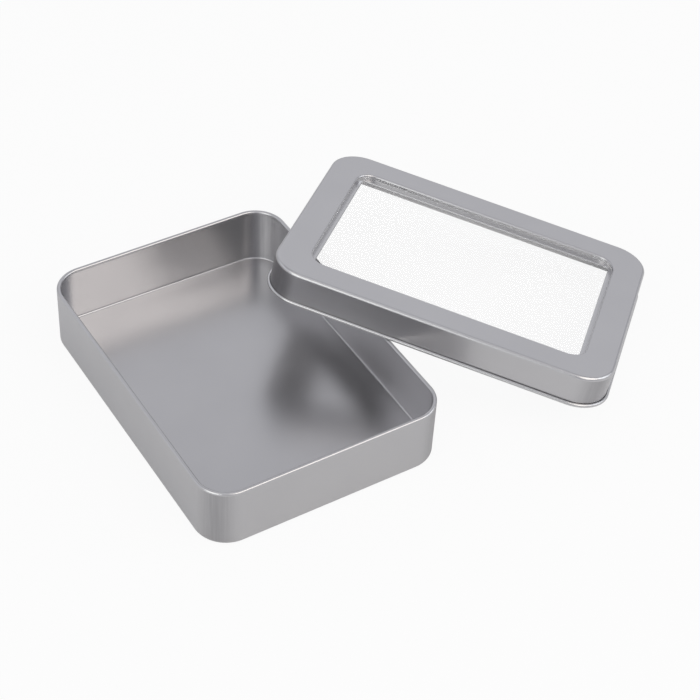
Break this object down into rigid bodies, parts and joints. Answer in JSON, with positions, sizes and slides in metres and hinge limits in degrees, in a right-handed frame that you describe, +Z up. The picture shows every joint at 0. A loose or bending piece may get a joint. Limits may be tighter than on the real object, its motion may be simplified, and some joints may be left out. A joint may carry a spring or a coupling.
{
  "type": "tin box with slip lid",
  "caption": "Shallow rectangular tinplate box, open and empty: a drawn tray with a rolled rim, and its slip lid with a clear window leaning on one long rim.",
  "frame": {"origin": "centre of the tray's flat underside, on the surface it stands on", "axes": "+Z up, +Y along the tray's long side; the lid leans on the long rim at -X and reaches the ground beyond it"},
  "size_m": [0.1988, 0.142, 0.0399],
  "materials": {
    "tray_tinplate": "satin uncoated tinplate",
    "lid_tinplate": "satin uncoated tinplate",
    "clear_sheet": "clear glossy plastic sheet"
  },
  "bodies": {
    "root": {"tray": "tray_tinplate", "lid_frame": "lid_tinplate", "window_pane": "clear_sheet"}
  },
  "joints": []
}
